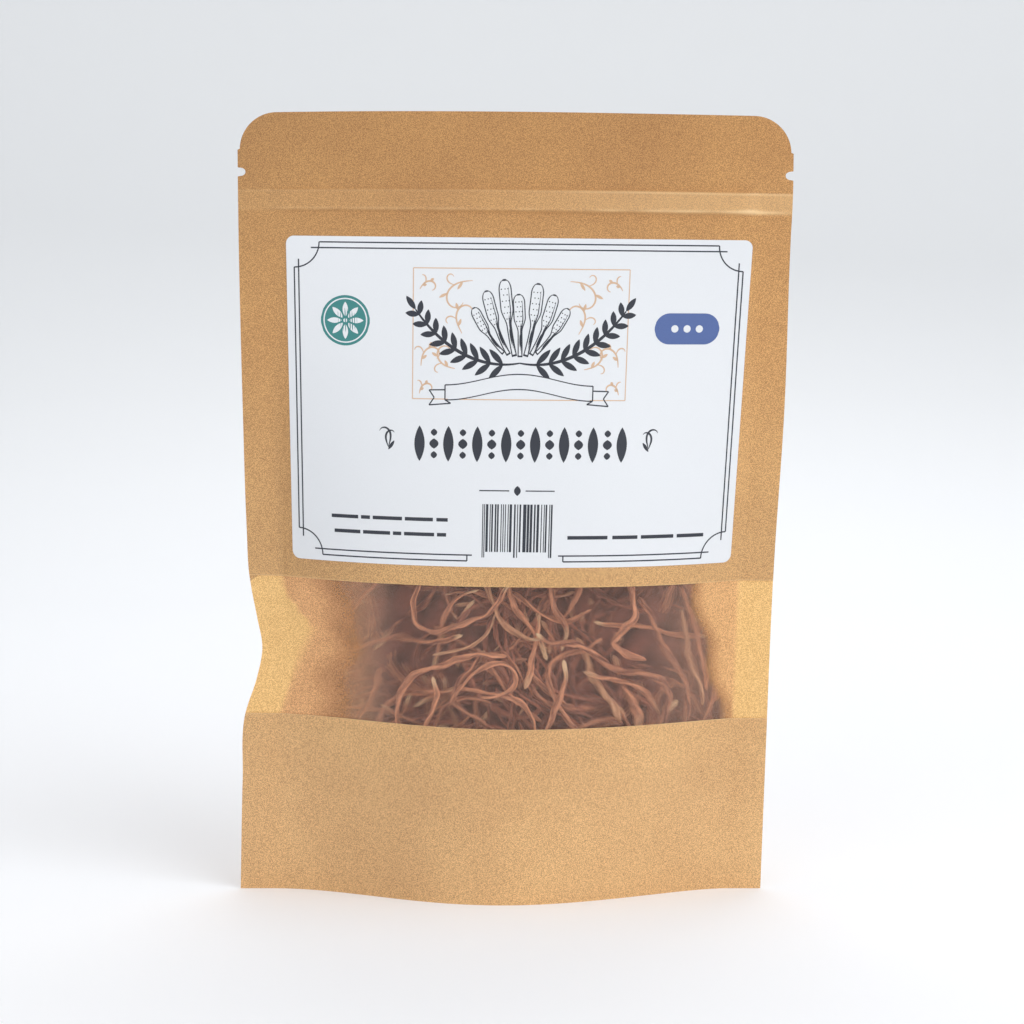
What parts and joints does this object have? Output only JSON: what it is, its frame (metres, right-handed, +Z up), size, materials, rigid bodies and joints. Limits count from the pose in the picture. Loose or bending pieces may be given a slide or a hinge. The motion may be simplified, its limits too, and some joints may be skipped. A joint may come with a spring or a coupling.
{
  "type": "stand-up pouch of dried cordyceps",
  "caption": "Sealed kraft stand-up pouch with a white ornamented label, a clear window strip, press zip and folded base, filled with dried bent cordyceps strands.",
  "frame": {"origin": "on the ground under the middle of the pouch's box", "axes": "+Z up the height of the pouch, -Y out of the printed front, +X to the right seen from the front"},
  "size_m": [0.1518, 0.0466, 0.2144],
  "materials": {
    "kraft": "matt speckled brown kraft paper",
    "film": "frosted clear plastic film",
    "label_paper": "smooth bluish white label paper",
    "zip_plastic": "milky soft plastic",
    "cordyceps_brown": "dry wrinkled reddish brown",
    "cordyceps_cream": "dry cream coloured tips and clubs"
  },
  "bodies": {
    "root": {"back_panel": "kraft", "front_upper_panel": "kraft", "front_lower_panel": "kraft", "bottom_gusset": "kraft", "window_film": "film", "zip_strip_front": "zip_plastic", "zip_strip_back": "zip_plastic", "label": "label_paper", "cordyceps_heap": "cordyceps_brown", "cordyceps_01": "cordyceps_brown", "cordyceps_02": "cordyceps_brown", "cordyceps_03": "cordyceps_brown", "cordyceps_04": "cordyceps_brown", "cordyceps_05": "cordyceps_cream", "cordyceps_06": "cordyceps_brown", "cordyceps_07": "cordyceps_brown", "cordyceps_08": "cordyceps_brown", "cordyceps_09": "cordyceps_brown", "cordyceps_10": "cordyceps_brown", "cordyceps_11": "cordyceps_cream", "cordyceps_12": "cordyceps_brown", "cordyceps_13": "cordyceps_brown", "cordyceps_14": "cordyceps_cream", "cordyceps_15": "cordyceps_brown", "cordyceps_16": "cordyceps_brown", "cordyceps_17": "cordyceps_brown", "cordyceps_18": "cordyceps_brown", "cordyceps_19": "cordyceps_brown", "cordyceps_20": "cordyceps_brown", "cordyceps_21": "cordyceps_brown", "cordyceps_22": "cordyceps_brown", "cordyceps_23": "cordyceps_brown", "cordyceps_24": "cordyceps_brown", "cordyceps_25": "cordyceps_brown", "cordyceps_26": "cordyceps_brown", "cordyceps_27": "cordyceps_brown", "cordyceps_28": "cordyceps_brown", "cordyceps_29": "cordyceps_brown", "cordyceps_30": "cordyceps_cream", "cordyceps_31": "cordyceps_brown", "cordyceps_32": "cordyceps_brown", "cordyceps_33": "cordyceps_brown", "cordyceps_34": "cordyceps_cream"}
  },
  "joints": []
}
